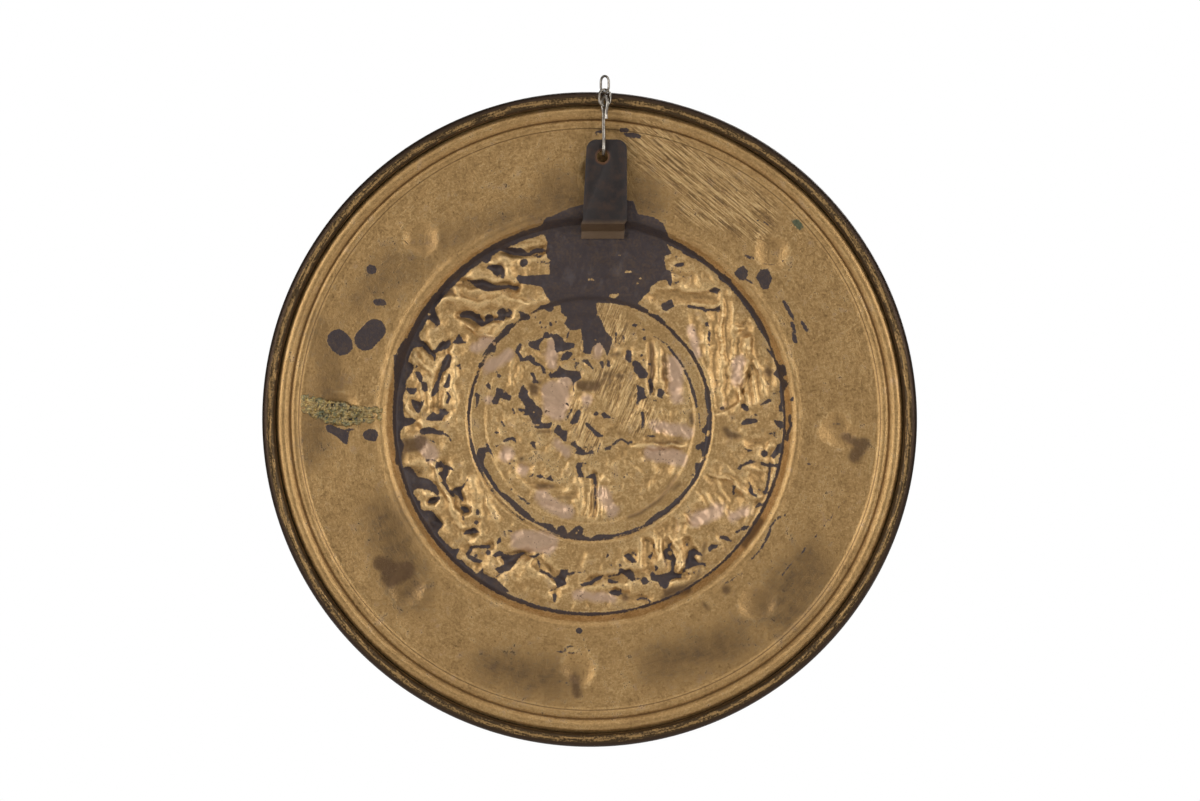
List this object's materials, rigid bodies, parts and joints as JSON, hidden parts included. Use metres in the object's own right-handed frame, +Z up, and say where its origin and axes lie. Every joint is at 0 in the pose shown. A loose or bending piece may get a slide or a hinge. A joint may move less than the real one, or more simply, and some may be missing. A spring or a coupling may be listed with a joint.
{
  "type": "round embossed bronze relief",
  "caption": "Round embossed bronze relief dish with a rolled rim and a figure band, hung at its back by a bent strap, a wire hook and chain links.",
  "frame": {"origin": "inside the top of the upper chain link, where the chain holds the part", "axes": "+Z up, -Y towards the wall and out of the dish's hollow back, +Y out of the relief's front, +X right as seen from the back"},
  "size_m": [0.4, 0.0314, 0.41],
  "materials": {
    "bronze": "old bronze, gold-brown where bare, dark brown patina in the recesses",
    "strap_iron": "dark brown blackened iron strip",
    "hook_steel": "grey drawn wire, a little dull",
    "chain_steel": "plated chain, slightly dulled"
  },
  "bodies": {
    "root": {"relief_dish": "bronze", "hanging_tab": "strap_iron", "wire_hook": "hook_steel", "chain_link_lower": "chain_steel", "chain_link_upper": "chain_steel"}
  },
  "joints": []
}
